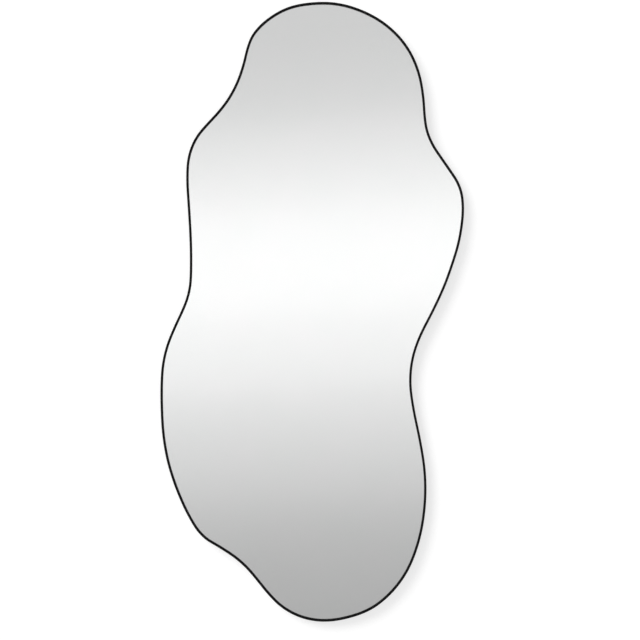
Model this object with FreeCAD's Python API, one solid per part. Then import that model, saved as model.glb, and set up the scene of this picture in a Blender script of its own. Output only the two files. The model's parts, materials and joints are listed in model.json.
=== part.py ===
import FreeCAD, Part
import math
import os
from collections import namedtuple
from FreeCAD import Placement, Rotation, Vector

# Wall mirror with a wavy, irregular outline in a thin black aluminium frame.
#
# Millimetres. The mirror hangs upright and faces -Y, +Z is up, and the wall is the plane y = 0 behind it.
# The origin lies on the wall, midway between the two hooks that the mirror hangs on.
#
# From the front to the wall: the frame's lip, the glass, its silver, a safety film, a bead of sealant, the
# frame's ledge, and a fibreboard back that is screwed to the ledge. Two strap hangers with swinging D-rings
# and four rubber bumpers sit on the back. The frame is one bent length of profile, closed at the bottom by a
# plate and four screws.

# Outline of the frame's outer edge, as bending stations, anticlockwise seen from the front: x and z from the
# lower left corner of the frame's box, and the edge's heading in degrees. Two tangent arcs join each pair.
# The highest station is the top of the mirror, and the drawing is scaled to the mirror's height.
MIRROR_HEIGHT = 1600.0
STATIONS = [
    (423, 0, 0),         # lowest point, where the frame is joined
    (504, 14, 17.5),
    (567, 46, 37.5),
    (652, 157, 67.5),
    (687, 343, 90),      # lower right swell
    (664, 512, 102.5),
    (651, 660, 82),      # right-hand waist
    (688, 766, 62),
    (748, 898, 70.5),
    (778, 1004, 80.5),
    (784, 1066, 90),     # furthest right
    (777, 1118, 108.5),
    (741, 1180, 125),
    (697, 1252, 112),
    (684, 1324, 93),     # right-hand neck
    (659, 1447, 113),
    (552, 1564, 151),
    (421, 1600, 180),    # highest point
    (301, 1573, 210),
    (246, 1528, 230),
    (218, 1464, 257.5),  # left-hand neck
    (185, 1371, 242),
    (133, 1301, 226.5),
    (83, 1236, 245),     # left shoulder
    (68, 1107, 274),
    (76, 918, 269.5),
    (70, 849, 256.5),    # left-hand waist
    (45, 784, 244.5),
    (7, 681, 258.5),
    (0, 589, 270),       # furthest left
    (11, 441, 280.5),
    (46, 326, 292.5),
    (64, 286, 296.5),
    (113, 215, 319),     # lower left heel
    (147, 193, 329),
    (208, 150, 318),
    (257, 95, 308),
    (330, 25, 329.5),
]

# Frame profile: a lip over the glass, an outer wall, and a ledge between the glass and the board
LIP_THICKNESS = 1.5
LIP_OVERLAP = 3.5
WALL_THICKNESS = 1.5
LEDGE_THICKNESS = 1.5
LEDGE_EDGE_MARGIN = 2.75
EDGE_RADIUS = 0.5
EDGE_RADIUS_LIMIT = 0.4  # of the lip's thickness

# Sheets held in the frame
GLASS_THICKNESS = 4.0
GLASS_CLEARANCE = 1.0
GLASS_ARRIS = 0.5
SILVER_THICKNESS = 0.1
FILM_THICKNESS = 0.3
FILM_MARGIN = 0.5
BOARD_THICKNESS = 9.0
BOARD_CLEARANCE = 0.8
BOARD_ARRIS = 0.6

# Sealant bead between the film and the ledge, and foam tape between the film and the board. The tapes' pitch
# is given on the drawing of the outline, so that they keep their places in it.
SEAL_THICKNESS = 1.5
SEAL_WIDTH = 3.5
SEAL_MARGIN = 1.5
TAPE_WIDTH = 25.0
DRAWN_TAPE_PITCH = 120.0
TAPE_COUNT = 4
TAPE_MARGIN = 30.0

# Countersunk screws through the board into the ledge
BOARD_SCREW_COUNT = 16
BOARD_SCREW_SHANK = 2.9
BOARD_SCREW_SEAL_CLEARANCE = 1.3
BOARD_SCREW_FILM_CLEARANCE = 0.9

# Joint of the frame at its lowest point: a gap, and a plate with screws on both sides of it
JOINT_GAP = 0.2
JOINT_PLATE_THICKNESS = 2.0
JOINT_PLATE_SIDE_MARGIN = 0.6
JOINT_PLATE_END_MARGIN = 12.0
JOINT_SCREW_SHANK = 2.6
JOINT_SCREW_FIRST = 12.0
JOINT_SCREW_PITCH = 18.0
JOINT_SCREW_PROUD = 0.5

# D-rings of round wire, and the straps folded round them
HOOK_DROP = 330.0
HOOK_SPACING = 400.0
RING_WIRE = 4.0
RING_INNER_WIDTH = 22.0
RING_LEG = 4.5
RING_CORNER = 3.5
RING_PLAY = 0.1
STRAP_SHEET = 1.2
STRAP_SIDE_CLEARANCE = 0.5
STRAP_KNEE = 7.0
STRAP_WALL_CLEARANCE = 2.5
STRAP_END_MARGIN = 11.0
HANGER_SCREW_SHANK = 4.0
HANGER_SCREW_FIRST = 13.0
HANGER_SCREW_PITCH = 20.0

# Rubber bumpers, each placed by its share of the way round the frame, anticlockwise from the joint
BUMPER_PROUD = 2.0
BUMPER_SOLE = 3.0
BUMPER_RIM = 3.5
BUMPER_FLARE = 1.5
BUMPER_EDGE = 1.0
BUMPER_WELL_CLEARANCE = 0.7
BUMPER_SCREW_SHANK = 3.5
BUMPER_INSET = 45.0
BUMPER_SHARES = {
    "lower_right_bumper": 0.064,
    "upper_right_bumper": 0.456,
    "upper_left_bumper": 0.529,
    "lower_left_bumper": 0.86,
}

# Screws in general, with their heads in proportion to their shanks
COUNTERSUNK_HEAD_RATIO = 1.92
PAN_HEAD_RATIO = 1.86
PAN_HEIGHT_RATIO = 0.56
PAN_SHOULDER_SHARE = 0.4
HEAD_RIM = 0.25
RECESS_SPAN_RATIO = 0.62
RECESS_WIDTH = 0.9
RECESS_DEPTH = 1.0
RECESS_TURN_ANGLE = 37.0
SHANK_CLEARANCE = 0.1
SHARP_POINT = 1.5
BLUNT_POINT = 0.4
POINT_RATIO = 0.5
BOARD_LEFT_BELOW_SCREW = 1.8
CUT_ALLOWANCE = 1.0
TOUCHING = 1e-3

# Depths, from the wall to the front
EYE_RADIUS = RING_WIRE / 2 + RING_PLAY + STRAP_SHEET
WALL_PLANE = 0.0
FRAME_BACK = WALL_PLANE - BUMPER_PROUD
BOARD_BACK = WALL_PLANE - STRAP_WALL_CLEARANCE - 2 * EYE_RADIUS
LEDGE_BACK = BOARD_BACK - BOARD_THICKNESS
LEDGE_FRONT = LEDGE_BACK - LEDGE_THICKNESS
FILM_BACK = LEDGE_FRONT - SEAL_THICKNESS
SILVER_BACK = FILM_BACK - FILM_THICKNESS
GLASS_BACK = SILVER_BACK - SILVER_THICKNESS
LIP_BACK = GLASS_BACK - GLASS_THICKNESS
FRONT = LIP_BACK - LIP_THICKNESS

# Insets, measured inwards from the frame's outer edge
GLASS_INSET = WALL_THICKNESS + GLASS_CLEARANCE
LIP_INSET = GLASS_INSET + LIP_OVERLAP
FILM_INSET = GLASS_INSET + FILM_MARGIN
SEAL_INSET = GLASS_INSET + SEAL_MARGIN
BOARD_INSET = WALL_THICKNESS + BOARD_CLEARANCE
BOARD_SCREW_INSET = SEAL_INSET + SEAL_WIDTH + BOARD_SCREW_SEAL_CLEARANCE + BOARD_SCREW_SHANK / 2
LEDGE_INSET = BOARD_SCREW_INSET + LEDGE_EDGE_MARGIN
TAPE_INSET = LEDGE_INSET + TAPE_MARGIN

# Sizes of the rings and straps, and of the plate across the joint
RING_HALF_WIDTH = (RING_INNER_WIDTH + RING_WIRE) / 2
RING_SHOULDER = RING_CORNER + RING_LEG
RING_TOP = RING_SHOULDER + RING_HALF_WIDTH
STRAP_WIDTH = 2 * (RING_HALF_WIDTH - RING_CORNER - STRAP_SIDE_CLEARANCE)
STRAP_LENGTH = HANGER_SCREW_FIRST + HANGER_SCREW_PITCH + STRAP_END_MARGIN
JOINT_PLATE_LENGTH = 2 * (JOINT_SCREW_FIRST + JOINT_SCREW_PITCH + JOINT_PLATE_END_MARGIN)

BACKWARDS = Vector(0, 1, 0)
Bend = namedtuple("Bend", "start heading sweep length")


# ---------------------------------------------------------------- outline

def direction(heading):
    """Unit vector in the mirror's plane at a heading in degrees, 0 along +X and 90 along +Z."""
    return Vector(math.cos(math.radians(heading)), 0, math.sin(math.radians(heading)))


def cross(a, b):
    """Cross product in the mirror's plane, positive where b is anticlockwise of a, seen from the front."""
    return a.x * b.z - a.z * b.x


def chord_share(half):
    """An arc's chord over its length, for half of its sweep in radians."""
    return math.sin(half) / half if half else 1.0


def bend_between(start, heading, end):
    """The arc that leaves start at a heading and arrives at end."""
    chord = end - start
    leaving = direction(heading)
    half = math.atan2(cross(leaving, chord), leaving.dot(chord))
    return Bend(start, heading, math.degrees(2 * half), chord.Length / chord_share(half))


def bend_pair(a, b):
    """Two tangent arcs from station a to station b, whose tangents at the ends are equally long."""
    start, end = Vector(a[0], 0, a[1]), Vector(b[0], 0, b[1])
    leaving, arriving = direction(a[2]), direction(b[2])
    gap = end - start
    reach = gap.dot(leaving + arriving)
    spread = 2 * (1 - leaving.dot(arriving))
    tangent = gap.dot(gap) / (reach + math.sqrt(reach ** 2 + spread * gap.dot(gap)))
    middle = (start + end + (leaving - arriving) * tangent) * 0.5
    first = bend_between(start, a[2], middle)
    return [first, bend_between(middle, a[2] + first.sweep, end)]


def on_bend(bend, share, inset):
    """Point at a share of a bend, moved inwards from the outer edge, and the heading there."""
    half = math.radians(bend.sweep * share) / 2
    chord = bend.length * share * chord_share(half)
    heading = bend.heading + bend.sweep * share
    point = bend.start + direction(bend.heading + bend.sweep * share / 2) * chord
    return point + direction(heading + 90) * inset, heading


def bend_edge(bend, inset):
    a, middle, b = [on_bend(bend, share, inset)[0] for share in (0, 0.5, 1)]
    rise = abs(cross(b - a, middle - a)) / (b - a).Length
    if rise < TOUCHING / 100:
        return Part.LineSegment(a, b).toShape()
    return Part.Arc(a, middle, b).toShape()


def outline_wire(bends, inset, y):
    wire = Part.Wire([bend_edge(bend, inset) for bend in bends])
    wire.translate(Vector(0, y, 0))
    return wire


def frame_length(bends):
    return sum(bend.length for bend in bends)


def along_frame(bends, distance, inset):
    """Point and heading at a distance along the outer edge from the joint, anticlockwise from the front."""
    left = distance % frame_length(bends)
    for bend in bends:
        if left <= bend.length:
            return on_bend(bend, left / bend.length, inset)
        left -= bend.length


def drawing_scale():
    """Size of the mirror over the size that its stations are drawn at."""
    return MIRROR_HEIGHT / max(station[1] for station in STATIONS)


def make_bends():
    """The outline's arcs, with the origin between the hooks, which are centred on the board's balance."""
    scale = drawing_scale()
    stations = [(x * scale, z * scale, heading) for x, z, heading in STATIONS]
    bends = []
    for a, b in zip(stations, stations[1:] + stations[:1]):
        bends += bend_pair(a, b)
    board = Part.Face(outline_wire(bends, BOARD_INSET, 0))
    origin = Vector(board.CenterOfMass.x, 0, MIRROR_HEIGHT - HOOK_DROP)
    return [bend._replace(start=bend.start - origin) for bend in bends]


def sheet(bends, inset, front, back):
    """A plate that fills the outline at an inset, between two depths."""
    return Part.Face(outline_wire(bends, inset, front)).extrude(BACKWARDS * (back - front))


def ring(bends, outer_inset, inner_inset, front, back):
    """A band that follows the outline between two insets and two depths."""
    wires = [outline_wire(bends, outer_inset, front), outline_wire(bends, inner_inset, front)]
    return Part.makeFace(wires, "Part::FaceMakerBullseye").extrude(BACKWARDS * (back - front))


def rim_edges(shape, bends, inset, y):
    """The edges of a shape that lie on the outline at an inset and a depth."""
    wire = outline_wire(bends, inset, y)
    found = []
    for edge in shape.Edges:
        middle = edge.valueAt((edge.FirstParameter + edge.LastParameter) / 2)
        if abs(middle.y - y) < TOUCHING and wire.distToShape(Part.Vertex(middle))[0] < TOUCHING:
            found.append(edge)
    return found


# ---------------------------------------------------------------- screws

def turned(profile):
    """Solid of revolution about Z from (radius, height) points, where a pair is an arc's middle and end."""
    here = profile[0]
    edges = []
    for entry in profile[1:] + profile[:1]:
        if isinstance(entry[0], tuple):
            edges.append(Part.Arc(*[Vector(r, 0, z) for r, z in (here, *entry)]).toShape())
            here = entry[1]
        else:
            edges.append(Part.LineSegment(*[Vector(r, 0, z) for r, z in (here, entry)]).toShape())
            here = entry
    return Part.Face(Part.Wire(edges)).revolve(Vector(0, 0, 0), Vector(0, 0, 1), 360)


def placed(shape, point, axis, turn=0.0):
    """A copy of a shape made along Z, set at a point with its Z along an axis, after a turn about itself."""
    copy = shape.copy()
    spin = Rotation(Vector(0, 0, 1), turn)
    copy.Placement = Placement(point, Rotation(Vector(0, 0, 1), axis).multiply(spin))
    return copy


def cross_recess(head):
    """Cross-shaped cutter for a driver, centred on the top of a head."""
    span = head * RECESS_SPAN_RATIO
    slots = []
    for length, width in ((span, RECESS_WIDTH), (RECESS_WIDTH, span)):
        corner = Vector(-length / 2, -width / 2, -RECESS_DEPTH)
        slots.append(Part.makeBox(length, width, RECESS_DEPTH + CUT_ALLOWANCE, corner))
    return slots[0].fuse(slots[1])


def countersunk_screw(shank, length):
    """Blunt screw along -Z with the flat top of its head at the origin."""
    head, neck = shank * COUNTERSUNK_HEAD_RATIO / 2, shank / 2
    cone_end = neck - head - HEAD_RIM
    body = turned([(0, 0), (head, 0), (head, -HEAD_RIM), (neck, cone_end), (neck, BLUNT_POINT - length),
                   (neck * POINT_RATIO, -length), (0, -length)])
    return body.cut(cross_recess(2 * head))


def countersink(shank, length):
    """Cutter for a countersunk screw: a cone that fits its head, and a clear hole for its shank."""
    head, bore = shank * COUNTERSUNK_HEAD_RATIO / 2, shank / 2 + SHANK_CLEARANCE
    return turned([(0, CUT_ALLOWANCE), (head, CUT_ALLOWANCE), (head, -HEAD_RIM),
                   (bore, bore - head - HEAD_RIM), (bore, -length), (0, -length)])


def pan_screw(shank, length):
    """Wood screw along -Z with the underside of its domed head at the origin."""
    head, neck, height = shank * PAN_HEAD_RATIO / 2, shank / 2, shank * PAN_HEIGHT_RATIO
    shoulder = height * PAN_SHOULDER_SHARE
    bulge = (head * math.sqrt(0.5), shoulder + (height - shoulder) * math.sqrt(0.5))
    body = turned([(0, height), (bulge, (head, shoulder)), (head, 0), (neck, 0), (neck, SHARP_POINT - length),
                   (neck * POINT_RATIO, -length), (0, -length)])
    recess = cross_recess(2 * head)
    recess.translate(Vector(0, 0, height))
    return body.cut(recess)


def clear_hole(shank, depth):
    """Cutter for a plain hole from the origin along -Z."""
    return Part.makeCylinder(shank / 2 + SHANK_CLEARANCE, depth + CUT_ALLOWANCE, Vector(0, 0, -depth))


def into_board():
    """How deep a wood screw goes into the back of the board."""
    return BOARD_THICKNESS - BOARD_LEFT_BELOW_SCREW


# ---------------------------------------------------------------- frame and its joint

def across_joint(bends, length):
    """A block across the frame at its joint, of a length along the frame, for cutting."""
    point, heading = along_frame(bends, 0, 0)
    corner = Vector(-length / 2, FRONT - CUT_ALLOWANCE, -LEDGE_INSET)
    block = Part.makeBox(length, FRAME_BACK - FRONT + 2 * CUT_ALLOWANCE, 3 * LEDGE_INSET, corner)
    block.rotate(Vector(0, 0, 0), BACKWARDS, -heading)
    block.translate(point)
    return block


def joint_screw_spots(bends):
    """Where the joint's screws enter the outer wall behind the board, and the way their heads face."""
    depth = (BOARD_BACK + FRAME_BACK) / 2
    spots = []
    for side in (-1, 1):
        for distance in (JOINT_SCREW_FIRST, JOINT_SCREW_FIRST + JOINT_SCREW_PITCH):
            point, heading = along_frame(bends, side * distance, 0)
            spots.append((point + BACKWARDS * depth, direction(heading - 90)))
    return spots


def joint_screw_length():
    return WALL_THICKNESS + JOINT_PLATE_THICKNESS + JOINT_SCREW_PROUD


def board_screw_spots(bends):
    """Evenly spaced points on the board's back over the ledge, half a space clear of the frame's joint."""
    space = frame_length(bends) / BOARD_SCREW_COUNT
    distances = [(index + 0.5) * space for index in range(BOARD_SCREW_COUNT)]
    return [along_frame(bends, distance, BOARD_SCREW_INSET)[0] + BACKWARDS * BOARD_BACK
            for distance in distances]


def make_frame(bends):
    lip = ring(bends, 0, LIP_INSET, FRONT, LIP_BACK)
    front_wall = ring(bends, 0, WALL_THICKNESS, LIP_BACK, LEDGE_FRONT)
    ledge = ring(bends, 0, LEDGE_INSET, LEDGE_FRONT, LEDGE_BACK)
    rear_wall = ring(bends, 0, WALL_THICKNESS, LEDGE_BACK, FRAME_BACK)
    frame = lip.multiFuse([front_wall, ledge, rear_wall]).removeSplitter()
    front_edges = rim_edges(frame, bends, 0, FRONT) + rim_edges(frame, bends, LIP_INSET, FRONT)
    frame = frame.makeFillet(min(EDGE_RADIUS, EDGE_RADIUS_LIMIT * LIP_THICKNESS), front_edges)
    sink = countersink(JOINT_SCREW_SHANK, joint_screw_length())
    pilot = clear_hole(BOARD_SCREW_SHANK, BOARD_THICKNESS + 2 * LEDGE_THICKNESS)
    cutters = [across_joint(bends, JOINT_GAP)]
    cutters += [placed(sink, point, axis) for point, axis in joint_screw_spots(bends)]
    cutters += [placed(pilot, point, BACKWARDS) for point in board_screw_spots(bends)]
    return frame.cut(cutters)


def make_joint_plate(bends):
    """A strip bent like the frame, against the inside of its rear wall."""
    front, back = BOARD_BACK + JOINT_PLATE_SIDE_MARGIN, FRAME_BACK - JOINT_PLATE_SIDE_MARGIN
    band = ring(bends, WALL_THICKNESS, WALL_THICKNESS + JOINT_PLATE_THICKNESS, front, back)
    plate = band.common(across_joint(bends, JOINT_PLATE_LENGTH))
    bore = clear_hole(JOINT_SCREW_SHANK, joint_screw_length() + CUT_ALLOWANCE)
    return plate.cut([placed(bore, point, axis) for point, axis in joint_screw_spots(bends)])


def make_joint_screws(bends):
    screw = countersunk_screw(JOINT_SCREW_SHANK, joint_screw_length())
    return Part.makeCompound([placed(screw, point, axis, index * RECESS_TURN_ANGLE)
                              for index, (point, axis) in enumerate(joint_screw_spots(bends))])


# ---------------------------------------------------------------- glass and tape

def make_glass(bends):
    glass = sheet(bends, GLASS_INSET, LIP_BACK, GLASS_BACK)
    return glass.makeChamfer(GLASS_ARRIS, rim_edges(glass, bends, GLASS_INSET, LIP_BACK))


def upright_runs(face, x):
    """Lowest and highest z of each stretch of an upright line that lies in a face."""
    box = face.BoundBox
    line = Part.LineSegment(Vector(x, 0, box.ZMin), Vector(x, 0, box.ZMax)).toShape()
    return [(edge.BoundBox.ZMin, edge.BoundBox.ZMax) for edge in face.common(line).Edges]


def make_tape(bends, index):
    """A straight upright strip, as long as it fits inside the ledge."""
    pitch = DRAWN_TAPE_PITCH * drawing_scale()
    left = (index - (TAPE_COUNT - 1) / 2) * pitch - TAPE_WIDTH / 2
    face = Part.Face(outline_wire(bends, TAPE_INSET, 0))
    shared = [(max(a[0], b[0]), min(a[1], b[1]))
              for a in upright_runs(face, left) for b in upright_runs(face, left + TAPE_WIDTH)]
    low, high = max(shared, key=lambda run: run[1] - run[0])
    return Part.makeBox(TAPE_WIDTH, LEDGE_BACK - FILM_BACK, high - low, Vector(left, FILM_BACK, low))


# ---------------------------------------------------------------- board and its screws

def make_board(bends):
    board = sheet(bends, BOARD_INSET, LEDGE_BACK, BOARD_BACK)
    board = board.makeChamfer(BOARD_ARRIS, rim_edges(board, bends, BOARD_INSET, BOARD_BACK))
    sink = countersink(BOARD_SCREW_SHANK, BOARD_THICKNESS + CUT_ALLOWANCE)
    hanger_pilot = clear_hole(HANGER_SCREW_SHANK, into_board() + SHANK_CLEARANCE)
    bumper_pilot = clear_hole(BUMPER_SCREW_SHANK, into_board() + SHANK_CLEARANCE)
    cutters = [placed(sink, point, BACKWARDS) for point in board_screw_spots(bends)]
    for side in (-1, 1):
        cutters += [placed(hanger_pilot, point, BACKWARDS) for point in hanger_screw_spots(side)]
    cutters += [placed(bumper_pilot, point, BACKWARDS) for point in bumper_spots(bends).values()]
    return board.cut(cutters)


def make_board_screws(bends):
    screw = countersunk_screw(BOARD_SCREW_SHANK, BOARD_BACK - FILM_BACK - BOARD_SCREW_FILM_CLEARANCE)
    return Part.makeCompound([placed(screw, point, BACKWARDS, index * RECESS_TURN_ANGLE)
                              for index, point in enumerate(board_screw_spots(bends))])


# ---------------------------------------------------------------- hangers

def pivot(side):
    """Centre of a ring's straight bar: the hook's seat, inside the top of the upright ring, is at z = 0."""
    return Vector(side * HOOK_SPACING / 2, BOARD_BACK + EYE_RADIUS, RING_WIRE / 2 - RING_TOP)


def hanger_screw_spots(side):
    """Points on the board's back under a strap's screw holes."""
    centre = pivot(side)
    return [Vector(centre.x, BOARD_BACK, centre.z - drop)
            for drop in (HANGER_SCREW_FIRST, HANGER_SCREW_FIRST + HANGER_SCREW_PITCH)]


def strap_side_view():
    """Face of the folded strap about the bar's centre.

    The back layer rises along the board and turns over the bar, and the front layer slopes from there down
    to a knee, where it meets the back layer and lies flat on it.
    """
    knee = Vector(0, 2 * STRAP_SHEET - EYE_RADIUS, -STRAP_KNEE)
    leaving = math.atan2(knee.z, knee.y) + math.acos(EYE_RADIUS / knee.Length)
    outwards = Vector(0, math.cos(leaving), math.sin(leaving))
    downhill = Vector(0, outwards.z, -outwards.y)

    def over_bar(radius):
        return Part.Arc(Vector(0, -radius, 0), Vector(0, 0, radius), outwards * radius).toShape()

    end = Vector(0, -EYE_RADIUS, -STRAP_LENGTH)
    corners = [outwards * EYE_RADIUS, knee, Vector(0, knee.y, end.z), end, Vector(0, -EYE_RADIUS, 0)]
    strap = Part.Face(Part.Wire([over_bar(EYE_RADIUS), *Part.makePolygon(corners).Edges]))
    radius = EYE_RADIUS - STRAP_SHEET
    crotch = outwards * radius - downhill * ((radius + outwards.y * radius) / downhill.y)
    corners = [outwards * radius, crotch, Vector(0, -radius, 0)]
    return strap.cut(Part.Face(Part.Wire([over_bar(radius), *Part.makePolygon(corners).Edges])))


def make_strap(side):
    """Steel strip folded round the ring's bar, with a rounded lower end and two screw holes."""
    half = STRAP_WIDTH / 2
    strip = strap_side_view().extrude(Vector(STRAP_WIDTH, 0, 0))
    strip.translate(Vector(-half, 0, 0))
    end = Vector(0, -EYE_RADIUS, half - STRAP_LENGTH)
    rounded = Part.makeCylinder(half, 2 * EYE_RADIUS, end, BACKWARDS)
    straight = Part.makeBox(STRAP_WIDTH, 2 * EYE_RADIUS, STRAP_LENGTH + EYE_RADIUS, end - Vector(half, 0, 0))
    strip = strip.common(rounded.fuse(straight))
    strip.translate(pivot(side))
    bore = clear_hole(HANGER_SCREW_SHANK, 2 * EYE_RADIUS)
    spots = [point + BACKWARDS * EYE_RADIUS for point in hanger_screw_spots(side)]
    return strip.cut([placed(bore, spot, BACKWARDS) for spot in spots])


def make_ring(side):
    """Closed D of round wire, standing up from its straight bar."""
    half, corner = RING_HALF_WIDTH, RING_CORNER
    near = corner * (1 - math.sqrt(0.5))

    def at(x, z):
        return Vector(x, 0, z)

    path = Part.Wire([
        Part.LineSegment(at(corner - half, 0), at(half - corner, 0)).toShape(),
        Part.Arc(at(half - corner, 0), at(half - near, near), at(half, corner)).toShape(),
        Part.LineSegment(at(half, corner), at(half, RING_SHOULDER)).toShape(),
        Part.Arc(at(half, RING_SHOULDER), at(0, RING_TOP), at(-half, RING_SHOULDER)).toShape(),
        Part.LineSegment(at(-half, RING_SHOULDER), at(-half, corner)).toShape(),
        Part.Arc(at(-half, corner), at(near - half, near), at(corner - half, 0)).toShape(),
    ])
    section = Part.Wire([Part.makeCircle(RING_WIRE / 2, at(corner - half, 0), Vector(1, 0, 0))])
    loop = path.makePipeShell([section], True, False)
    loop.translate(pivot(side))
    return loop


def make_hanger_screws():
    sheets = 2 * STRAP_SHEET
    screw = pan_screw(HANGER_SCREW_SHANK, sheets + into_board())
    spots = hanger_screw_spots(-1) + hanger_screw_spots(1)
    return Part.makeCompound([placed(screw, point + BACKWARDS * sheets, BACKWARDS, index * RECESS_TURN_ANGLE)
                              for index, point in enumerate(spots)])


# ---------------------------------------------------------------- bumpers

def bumper_spots(bends):
    """The centre of each bumper on the board's back, by its name."""
    return {name: along_frame(bends, share * frame_length(bends), BUMPER_INSET)[0] + BACKWARDS * BOARD_BACK
            for name, share in BUMPER_SHARES.items()}


def make_bumper(spot):
    """Tapered rubber foot, from the board to the wall, with a well for its screw."""
    height = WALL_PLANE - BOARD_BACK
    bore = BUMPER_SCREW_SHANK / 2 + SHANK_CLEARANCE
    well = BUMPER_SCREW_SHANK * PAN_HEAD_RATIO / 2 + BUMPER_WELL_CLEARANCE
    tip = well + BUMPER_RIM
    base = tip + BUMPER_FLARE
    foot = turned([(bore, 0), (base, 0), (base, BUMPER_EDGE), (tip, height - BUMPER_EDGE),
                   (tip - BUMPER_EDGE, height), (well, height), (well, BUMPER_SOLE), (bore, BUMPER_SOLE)])
    return placed(foot, spot, BACKWARDS)


def make_bumper_screws(bends):
    screw = pan_screw(BUMPER_SCREW_SHANK, BUMPER_SOLE + into_board())
    spots = [point + BACKWARDS * BUMPER_SOLE for point in bumper_spots(bends).values()]
    return Part.makeCompound([placed(screw, spot, BACKWARDS, index * RECESS_TURN_ANGLE)
                              for index, spot in enumerate(spots)])


# ---------------------------------------------------------------- assembly

def make_nodes():
    bends = make_bends()
    nodes = {
        "frame_rail": make_frame(bends),
        "frame_joint_plate": make_joint_plate(bends),
        "frame_joint_screws": make_joint_screws(bends),
        "mirror_glass": make_glass(bends),
        "silver_coating": sheet(bends, FILM_INSET, GLASS_BACK, SILVER_BACK),
        "safety_film": sheet(bends, FILM_INSET, SILVER_BACK, FILM_BACK),
        "glazing_seal": ring(bends, SEAL_INSET, SEAL_INSET + SEAL_WIDTH, FILM_BACK, LEDGE_FRONT),
        "backing_board": make_board(bends),
        "board_screws": make_board_screws(bends),
        "left_hanger_strap": make_strap(-1),
        "right_hanger_strap": make_strap(1),
        "left_hanger_ring": make_ring(-1),
        "right_hanger_ring": make_ring(1),
        "hanger_screws": make_hanger_screws(),
        "bumper_screws": make_bumper_screws(bends),
    }
    for index in range(TAPE_COUNT):
        nodes[f"foam_tape_{index + 1}"] = make_tape(bends, index)
    for name, spot in bumper_spots(bends).items():
        nodes[name] = make_bumper(spot)
    return nodes


def main():
    os.makedirs("parts", exist_ok=True)
    for name, shape in make_nodes().items():
        print(f"{name}: valid {shape.isValid()}, {len(shape.Solids)} solids, {shape.Volume:.1f} mm3")
        shape.exportStep(f"parts/{name}.step")


main()
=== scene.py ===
# %% [markdown]
# # Irregular wall mirror with a thin black frame
#
# The construction comes from the workshop model: every solid is already at its real size and place, in metres,
# with the wall at y = 0 and the mirror facing -y. Here it gets its looks. The model is loaded first and stays
# as it is, and each piece below is a dressed copy that stands in for one of its solids.

# %% Load the workshop model
import json
import math
from contextlib import contextmanager

import bpy
from mathutils import Matrix, Vector

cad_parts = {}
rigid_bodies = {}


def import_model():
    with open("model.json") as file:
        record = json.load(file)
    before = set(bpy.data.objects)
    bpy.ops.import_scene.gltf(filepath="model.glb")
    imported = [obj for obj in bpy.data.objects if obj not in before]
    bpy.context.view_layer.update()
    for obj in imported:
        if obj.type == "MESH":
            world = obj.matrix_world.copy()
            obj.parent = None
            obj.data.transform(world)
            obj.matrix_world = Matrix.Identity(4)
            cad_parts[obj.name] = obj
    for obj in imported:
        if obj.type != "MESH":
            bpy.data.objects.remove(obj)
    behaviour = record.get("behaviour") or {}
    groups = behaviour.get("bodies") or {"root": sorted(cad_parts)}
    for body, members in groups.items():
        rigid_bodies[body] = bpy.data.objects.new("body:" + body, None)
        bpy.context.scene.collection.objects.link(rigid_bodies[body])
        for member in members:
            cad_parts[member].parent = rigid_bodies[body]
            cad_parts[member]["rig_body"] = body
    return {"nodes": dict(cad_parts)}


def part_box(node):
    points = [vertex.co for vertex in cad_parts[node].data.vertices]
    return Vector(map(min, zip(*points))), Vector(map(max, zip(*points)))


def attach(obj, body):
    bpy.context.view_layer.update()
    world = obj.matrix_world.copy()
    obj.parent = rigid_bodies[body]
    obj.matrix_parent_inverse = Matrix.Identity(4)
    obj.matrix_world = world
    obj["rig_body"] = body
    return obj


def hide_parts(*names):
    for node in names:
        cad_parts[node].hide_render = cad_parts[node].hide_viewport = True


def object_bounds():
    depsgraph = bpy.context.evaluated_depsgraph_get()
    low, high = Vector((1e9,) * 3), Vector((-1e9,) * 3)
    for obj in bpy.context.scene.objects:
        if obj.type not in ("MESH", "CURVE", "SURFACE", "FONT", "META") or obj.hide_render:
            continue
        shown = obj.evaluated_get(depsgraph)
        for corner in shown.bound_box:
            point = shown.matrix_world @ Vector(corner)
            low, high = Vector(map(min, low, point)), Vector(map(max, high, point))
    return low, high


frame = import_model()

cad_box = [list(corner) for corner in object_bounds()]
print("workshop model from", cad_box[0], "to", cad_box[1])

# %% [markdown]
# ## The camera
#
# A product photograph like this is taken square on, from far away, so that the outline isn't distorted. A long
# lens does the same. The distance follows from the lens: the picture covers 1.652 m at the frame's front.

# %% Camera
LENS = 85.0
SENSOR = 36.0
VIEW_WIDTH = 1.6517
VIEW_CENTRE = (0.0232, -0.4912)

front = cad_box[0][1]
camera_distance = VIEW_WIDTH * LENS / SENSOR
bpy.ops.object.camera_add(
    location=(VIEW_CENTRE[0], front - camera_distance, VIEW_CENTRE[1]),
    rotation=(math.radians(90), 0, 0),
)
camera = bpy.context.object
camera.name = "camera"
camera.data.lens = LENS
camera.data.sensor_width = SENSOR
bpy.context.scene.camera = camera
print(f"camera {camera_distance:.3f} m in front of the frame")

# %% [markdown]
# ## A short way to wire nodes
#
# Every finish below is a small tree of nodes. Placing each node by hand takes many lines, so one helper adds a
# node, sets its fields, and fills or links its inputs in one go.

# %% Helpers for node trees
def add(tree, kind, inputs=None, **fields):
    """A new node in a tree. Each input takes a plain value, or another node's socket, which is linked."""
    made = tree.nodes.new(kind)
    for name, value in fields.items():
        setattr(made, name, value)
    for name, value in (inputs or {}).items():
        if isinstance(value, bpy.types.NodeSocket):
            tree.links.new(value, made.inputs[name])
        else:
            made.inputs[name].default_value = value
    return made


def maths(tree, operation, a, b=0.5):
    """The result of a Math node on two values or sockets."""
    return add(tree, "ShaderNodeMath", {0: a, 1: b}, operation=operation).outputs[0]


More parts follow.
